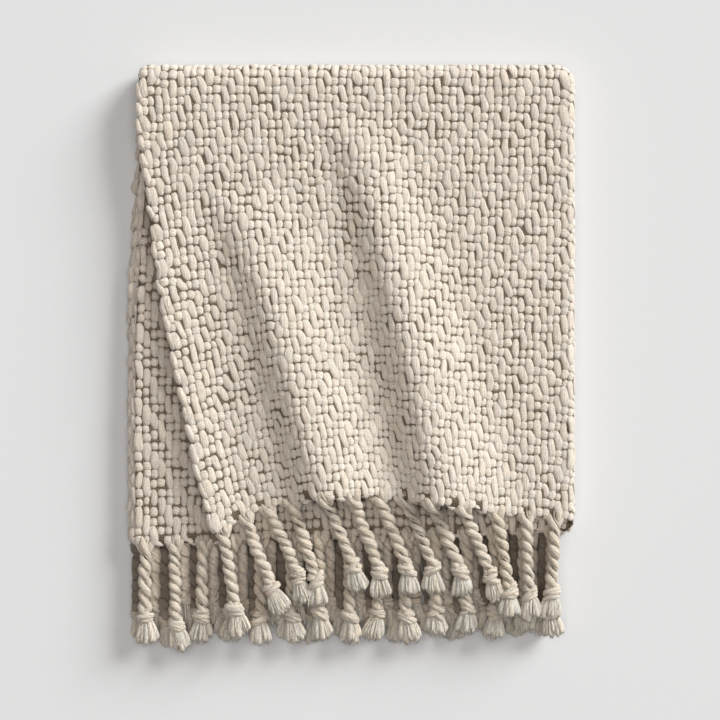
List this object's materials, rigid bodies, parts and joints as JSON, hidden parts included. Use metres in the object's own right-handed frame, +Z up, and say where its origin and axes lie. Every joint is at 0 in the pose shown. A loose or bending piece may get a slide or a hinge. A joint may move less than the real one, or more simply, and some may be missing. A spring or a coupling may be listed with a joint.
{
  "type": "folded chunky throw blanket",
  "caption": "Chunky woven cream throw, folded in half twice, with soft drape folds and a knotted twisted fringe along its hems",
  "frame": {"origin": "on the flat underside, below the middle of the folded bundle, fringe included", "axes": "+Z up from the underside, +Y towards the folded top edge, +X towards the rolled right edge; the fringe hangs towards -Y"},
  "size_m": [0.576, 0.7566, 0.0685],
  "materials": {
    "chunky_weave": "thick slubby cream yarn in an open twill with fine taupe threads in the grooves, matt",
    "twisted_yarn": "cream yarn twisted into two-strand ropes, knotted and cut to soft tufts, matt"
  },
  "bodies": {
    "root": {"throw_cloth": "chunky_weave", "fringe_top_outer": "twisted_yarn", "fringe_top_inner": "twisted_yarn", "fringe_bottom_inner": "twisted_yarn", "fringe_bottom_outer": "twisted_yarn"}
  },
  "joints": []
}
